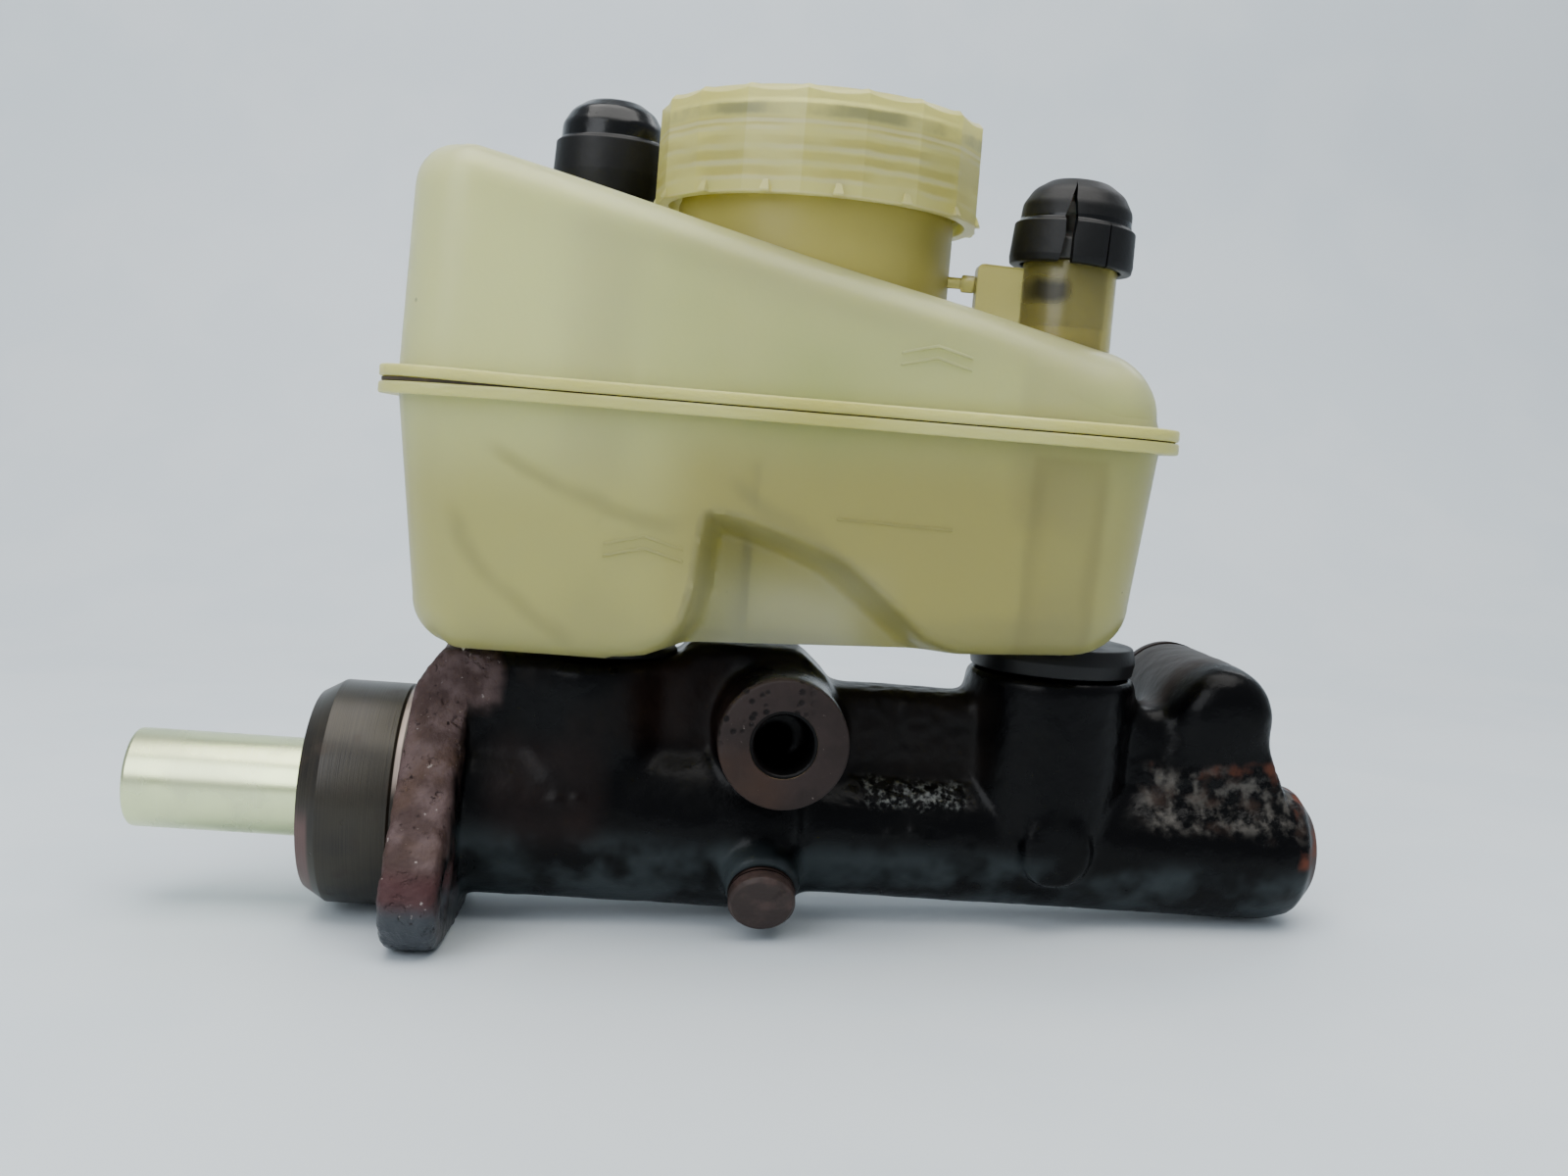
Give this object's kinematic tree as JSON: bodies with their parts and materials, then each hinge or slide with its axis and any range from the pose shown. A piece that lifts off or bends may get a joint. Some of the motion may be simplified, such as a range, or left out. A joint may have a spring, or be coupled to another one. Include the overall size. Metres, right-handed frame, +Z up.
{
  "type": "brake master cylinder",
  "caption": "Tandem brake master cylinder with flange and spigot, piston rod, translucent reservoir, screw cap and level-warning contacts under rubber boots.",
  "frame": {"origin": "centre of the mounting flange's rear face, on the bore axis", "axes": "+X along the bore towards the closed front end, +Z up towards the reservoir, -Y the side with the rear outlet"},
  "size_m": [0.2381, 0.078, 0.1668],
  "materials": {
    "cast_iron": "worn gloss black over rough casting",
    "rusty_steel": "dull, lightly rusted",
    "copper": "dull copper",
    "spring_steel": "oiled dark steel",
    "plain_steel": "satin",
    "rubber": "matte",
    "boot_rubber": "polished dome, satin skirt",
    "guide_plastic": "natural nylon",
    "tank_plastic": "aged translucent polypropylene",
    "cap_plastic": "aged translucent polypropylene",
    "insert_plastic": "satin black",
    "float_plastic": "natural",
    "contact_brass": "plain",
    "gold_anodised": "polished, gold anodised"
  },
  "bodies": {
    "housing": {"cylinder_body": "cast_iron", "stop_screw": "rusty_steel", "stop_screw_washer": "copper", "circlip": "spring_steel", "stop_washer": "plain_steel", "vacuum_cup": "rubber", "guide_ring": "guide_plastic", "pressure_cup": "rubber", "rear_grommet": "rubber", "front_grommet": "rubber", "reservoir_lower": "tank_plastic", "reservoir_upper": "tank_plastic", "rear_boot": "boot_rubber", "front_boot": "boot_rubber", "rear_contact_insert": "insert_plastic", "front_contact_insert": "insert_plastic", "rear_terminal_a": "contact_brass", "rear_terminal_b": "contact_brass", "front_terminal_a": "contact_brass", "front_terminal_b": "contact_brass", "rear_float_cage": "float_plastic", "front_float_cage": "float_plastic"},
    "primary_piston": {"primary_piston": "gold_anodised", "primary_cup_washer": "plain_steel", "primary_cup": "rubber", "primary_spring_seat": "plain_steel", "captive_screw": "plain_steel", "primary_spring": "spring_steel"},
    "secondary_piston": {"secondary_piston": "gold_anodised", "separating_cup_rear": "rubber", "separating_cup_front": "rubber", "secondary_cup_washer": "plain_steel", "secondary_cup": "rubber", "secondary_spring_seat": "plain_steel", "stop_sleeve": "plain_steel", "secondary_spring": "spring_steel"},
    "cap_seal": {"cap_seal": "rubber"},
    "cap": {"cap": "cap_plastic"},
    "rear_test_plunger": {"rear_test_plunger": "float_plastic"},
    "front_test_plunger": {"front_test_plunger": "float_plastic"},
    "rear_float": {"rear_float": "float_plastic"},
    "front_float": {"front_float": "float_plastic"}
  },
  "joints": [
    {"name": "piston_stroke", "type": "slide", "parent": "housing", "child": "primary_piston", "axis": [1, 0, 0], "range_m": [0, 0.028], "stiffness_N_per_m": 2500, "springref_m": -0.02, "deforming": ["primary_spring"]},
    {"name": "secondary_stroke", "type": "slide", "parent": "housing", "child": "secondary_piston", "axis": [1, 0, 0], "range_m": [0, 0.0121], "stiffness_N_per_m": 2500, "springref_m": -0.02, "deforming": ["secondary_spring"]},
    {"name": "cap_lift", "type": "slide", "parent": "housing", "child": "cap_seal", "axis": [0, 0, 1], "range_m": [0, 0.0181]},
    {"name": "cap_turn", "type": "hinge", "parent": "cap_seal", "child": "cap", "pos_m": [0.0708, 0, 0.1195], "axis": [0, 0, 1], "range_deg": [0, 1080]},
    {"name": "rear_test_press", "type": "slide", "parent": "housing", "child": "rear_test_plunger", "axis": [0, 0, -1], "range_m": [0, 0.003], "stiffness_N_per_m": 400, "springref_m": -0.001},
    {"name": "front_test_press", "type": "slide", "parent": "housing", "child": "front_test_plunger", "axis": [0, 0, -1], "range_m": [0, 0.003], "stiffness_N_per_m": 400, "springref_m": -0.001},
    {"name": "rear_float_rise", "type": "slide", "parent": "housing", "child": "rear_float", "axis": [0, 0, 1], "range_m": [0, 0.026]},
    {"name": "front_float_rise", "type": "slide", "parent": "housing", "child": "front_float", "axis": [0, 0, 1], "range_m": [0, 0.016]}
  ],
  "couplings": [
    {"joint": "secondary_stroke", "follows": "piston_stroke", "ratio": 0.42857},
    {"joint": "cap_lift", "follows": "cap_turn", "m_per_rad": 0.00095493}
  ]
}
